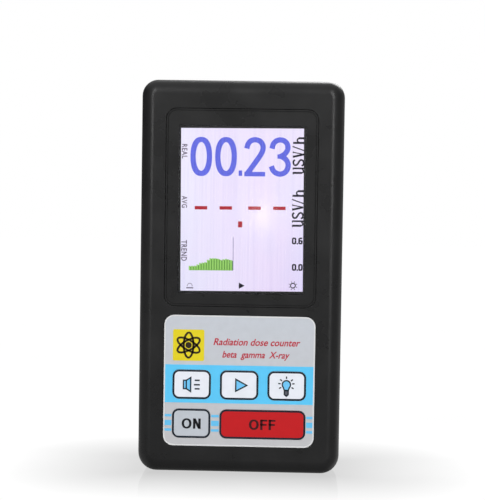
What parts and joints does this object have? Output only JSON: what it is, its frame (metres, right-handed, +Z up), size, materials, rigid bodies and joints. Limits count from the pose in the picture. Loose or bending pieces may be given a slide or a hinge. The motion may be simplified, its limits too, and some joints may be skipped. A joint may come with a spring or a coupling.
{
  "type": "geiger counter",
  "caption": "Hand-held geiger counter with a colour display, a film keypad of sprung keys and a glass counter tube inside a two-shell case.",
  "frame": {"origin": "middle of the lower end, on which the counter stands", "axes": "+Z up along the long side, +Y from the front face to the back, +X to the right of someone looking at the display"},
  "size_m": [0.0606, 0.025, 0.1177],
  "materials": {
    "case_plastic": "fine-textured charcoal moulding",
    "bezel_plastic": "satin charcoal plate",
    "window_clear": "clear polished acrylic",
    "display_picture": "lit liquid crystal panel",
    "tray_metal": "pressed, satin",
    "foam_tape": "closed-cell foam",
    "flex_film": "amber film",
    "black_part": "moulded black",
    "overlay_film": "satin printed film",
    "adhesive_tape": "double-sided tape",
    "key_white": "satin printed film",
    "key_grey": "satin printed film",
    "key_red": "satin printed film",
    "switch_plastic": "moulded black",
    "board_green": "solder mask on glass laminate",
    "screw_steel": "dark zinc plate",
    "battery_pouch": "foil laminate",
    "connector_white": "moulded nylon",
    "lead_red": "insulation",
    "lead_black": "insulation",
    "tube_glass": "grey-coated glass",
    "nickel": "nickel plate",
    "ferrite": "ground ferrite",
    "red_coat": "dipped epoxy"
  },
  "bodies": {
    "case": {"front_shell": "case_plastic", "back_shell": "case_plastic", "screen_bezel": "bezel_plastic", "window_lens": "window_clear", "display_panel": "display_picture", "display_tray": "tray_metal", "display_foam": "foam_tape", "display_flex": "flex_film", "display_connector": "black_part", "keypad_overlay": "overlay_film", "overlay_adhesive": "adhesive_tape", "switch_sound": "black_part", "switch_play": "black_part", "switch_light": "black_part", "switch_on": "black_part", "switch_off": "black_part", "main_board": "board_green", "case_screw_1": "screw_steel", "case_screw_2": "screw_steel", "case_screw_3": "screw_steel", "case_screw_4": "screw_steel", "battery": "battery_pouch", "battery_tape": "adhesive_tape", "battery_connector": "connector_white", "battery_lead_red": "lead_red", "battery_lead_black": "lead_black", "counter_tube": "tube_glass", "tube_cap_lower": "nickel", "tube_cap_upper": "nickel", "tube_clip_lower": "nickel", "tube_clip_upper": "nickel", "hv_transformer": "ferrite", "hv_capacitor": "red_coat", "processor_chip": "black_part", "crystal": "nickel", "buzzer": "black_part", "charge_socket": "nickel", "charge_chip": "black_part"},
    "sound_key": {"key_sound": "key_white", "stem_sound": "switch_plastic"},
    "play_key": {"key_play": "key_white", "stem_play": "switch_plastic"},
    "light_key": {"key_light": "key_white", "stem_light": "switch_plastic"},
    "on_key": {"key_on": "key_grey", "stem_on": "switch_plastic"},
    "off_key": {"key_off": "key_red", "stem_off": "switch_plastic"}
  },
  "joints": [
    {"name": "sound_press", "type": "slide", "parent": "case", "child": "sound_key", "axis": [0, 1, 0], "range_m": [0, 0.0003], "stiffness_N_per_m": 3000},
    {"name": "play_press", "type": "slide", "parent": "case", "child": "play_key", "axis": [0, 1, 0], "range_m": [0, 0.0003], "stiffness_N_per_m": 3000},
    {"name": "light_press", "type": "slide", "parent": "case", "child": "light_key", "axis": [0, 1, 0], "range_m": [0, 0.0003], "stiffness_N_per_m": 3000},
    {"name": "on_press", "type": "slide", "parent": "case", "child": "on_key", "axis": [0, 1, 0], "range_m": [0, 0.0003], "stiffness_N_per_m": 3000},
    {"name": "off_press", "type": "slide", "parent": "case", "child": "off_key", "axis": [0, 1, 0], "range_m": [0, 0.0003], "stiffness_N_per_m": 3000}
  ]
}
